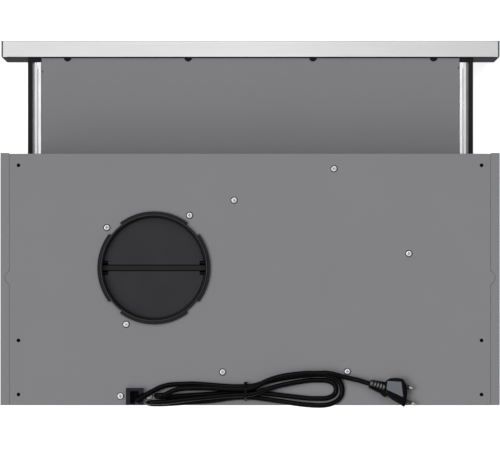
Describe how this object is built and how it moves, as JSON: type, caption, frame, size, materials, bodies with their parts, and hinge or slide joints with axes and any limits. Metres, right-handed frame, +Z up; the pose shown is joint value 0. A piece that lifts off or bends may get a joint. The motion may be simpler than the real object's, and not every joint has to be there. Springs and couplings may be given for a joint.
{
  "type": "range hood",
  "caption": "Telescopic built-in range hood with a pull-out tray behind a brushed front strip, a round duct outlet with check flaps, filters below and a mains cord with plug",
  "frame": {"origin": "centre of the footprint at the hood's underside, with the drawer out, cord left out", "axes": "+X to the right seen from the front, +Y to the wall, +Z up"},
  "size_m": [0.6, 0.4411, 0.1943],
  "materials": {
    "grey_paint": "satin grey powder coat",
    "tray_paint": "satin grey powder coat",
    "black_plastic": "black moulded plastic",
    "cord_sheath": "black flexible PVC",
    "pin_metal": "nickel plated brass",
    "zinc_steel": "bright zinc plated steel",
    "motor_iron": "laminated electrical steel",
    "winding_copper": "enamelled copper wire",
    "capacitor_shell": "drawn aluminium can",
    "brushed_strip": "brushed lengthwise",
    "dark_plastic": "dark moulded plastic",
    "filter_metal": "anodised, fine mesh",
    "lamp_metal": "plated lamp ring",
    "lamp_glass": "frosted glass"
  },
  "bodies": {
    "hood": {"top_plate": "grey_paint", "front_panel": "grey_paint", "rear_panel": "grey_paint", "base_frame": "grey_paint", "side_panel_left": "grey_paint", "side_panel_right": "grey_paint", "duct_collar": "black_plastic", "flap_pins": "zinc_steel", "blower_housing_upper": "black_plastic", "blower_housing_lower": "black_plastic", "motor_bracket": "zinc_steel", "motor_cap_upper": "zinc_steel", "motor_cap_lower": "zinc_steel", "motor_bearings": "zinc_steel", "stator_core": "motor_iron", "stator_windings": "winding_copper", "capacitor": "capacitor_shell", "terminal_box": "black_plastic", "cable_gland": "black_plastic", "bend_relief": "cord_sheath", "cord_lead": "cord_sheath", "cord_hank": "cord_sheath", "cord_tail": "cord_sheath", "cable_tie": "black_plastic", "plug_body": "cord_sheath", "plug_pins": "pin_metal", "top_screws": "zinc_steel", "box_screws": "zinc_steel", "rail_left": "zinc_steel", "rail_right": "zinc_steel", "filter_frame_left": "filter_metal", "filter_frame_right": "filter_metal", "filter_mesh_left": "filter_metal", "filter_mesh_right": "filter_metal", "lamp_body_left": "lamp_metal", "lamp_body_right": "lamp_metal", "lamp_lens_left": "lamp_glass", "lamp_lens_right": "lamp_glass", "speed_switch": "dark_plastic", "light_switch": "dark_plastic"},
    "drawer": {"front_strip": "brushed_strip", "end_caps": "dark_plastic", "strip_carrier": "dark_plastic", "tray": "tray_paint", "tray_screws": "dark_plastic", "slide_brackets": "dark_plastic", "slide_left": "zinc_steel", "slide_right": "zinc_steel", "runner_left": "dark_plastic", "runner_right": "dark_plastic"},
    "fan": {"impeller": "black_plastic", "motor_shaft": "zinc_steel", "rotor_core": "motor_iron"},
    "flap_front_leaf": {"flap_front": "black_plastic"},
    "flap_rear_leaf": {"flap_rear": "black_plastic"},
    "speed_knob": {"speed_slider": "dark_plastic"},
    "light_knob": {"light_slider": "dark_plastic"},
    "latch_left": {"filter_latch_left": "dark_plastic"},
    "latch_right": {"filter_latch_right": "dark_plastic"}
  },
  "joints": [
    {"name": "drawer_slide", "type": "slide", "parent": "hood", "child": "drawer", "axis": [0, 1, 0], "range_m": [0, 0.1075]},
    {"name": "fan_spin", "type": "hinge", "parent": "hood", "child": "fan", "pos_m": [-0.0619, 0.0602, 0.12], "axis": [0, 0, 1], "continuous": true},
    {"name": "flap_front_hinge", "type": "hinge", "parent": "hood", "child": "flap_front_leaf", "pos_m": [0.1151, 0.0483, 0.1671], "axis": [-1, 0, 0], "range_deg": [0, 80]},
    {"name": "flap_rear_hinge", "type": "hinge", "parent": "hood", "child": "flap_rear_leaf", "pos_m": [0.1151, 0.0607, 0.1671], "axis": [1, 0, 0], "range_deg": [0, 80]},
    {"name": "speed_slide", "type": "slide", "parent": "hood", "child": "speed_knob", "axis": [1, 0, 0], "range_m": [0, 0.024]},
    {"name": "light_slide", "type": "slide", "parent": "hood", "child": "light_knob", "axis": [1, 0, 0], "range_m": [0, 0.008]},
    {"name": "latch_left_slide", "type": "slide", "parent": "hood", "child": "latch_left", "axis": [0, 1, 0], "range_m": [0, 0.004], "stiffness_N_per_m": 200, "springref_m": -0.002},
    {"name": "latch_right_slide", "type": "slide", "parent": "hood", "child": "latch_right", "axis": [0, 1, 0], "range_m": [0, 0.004], "stiffness_N_per_m": 200, "springref_m": -0.002}
  ]
}
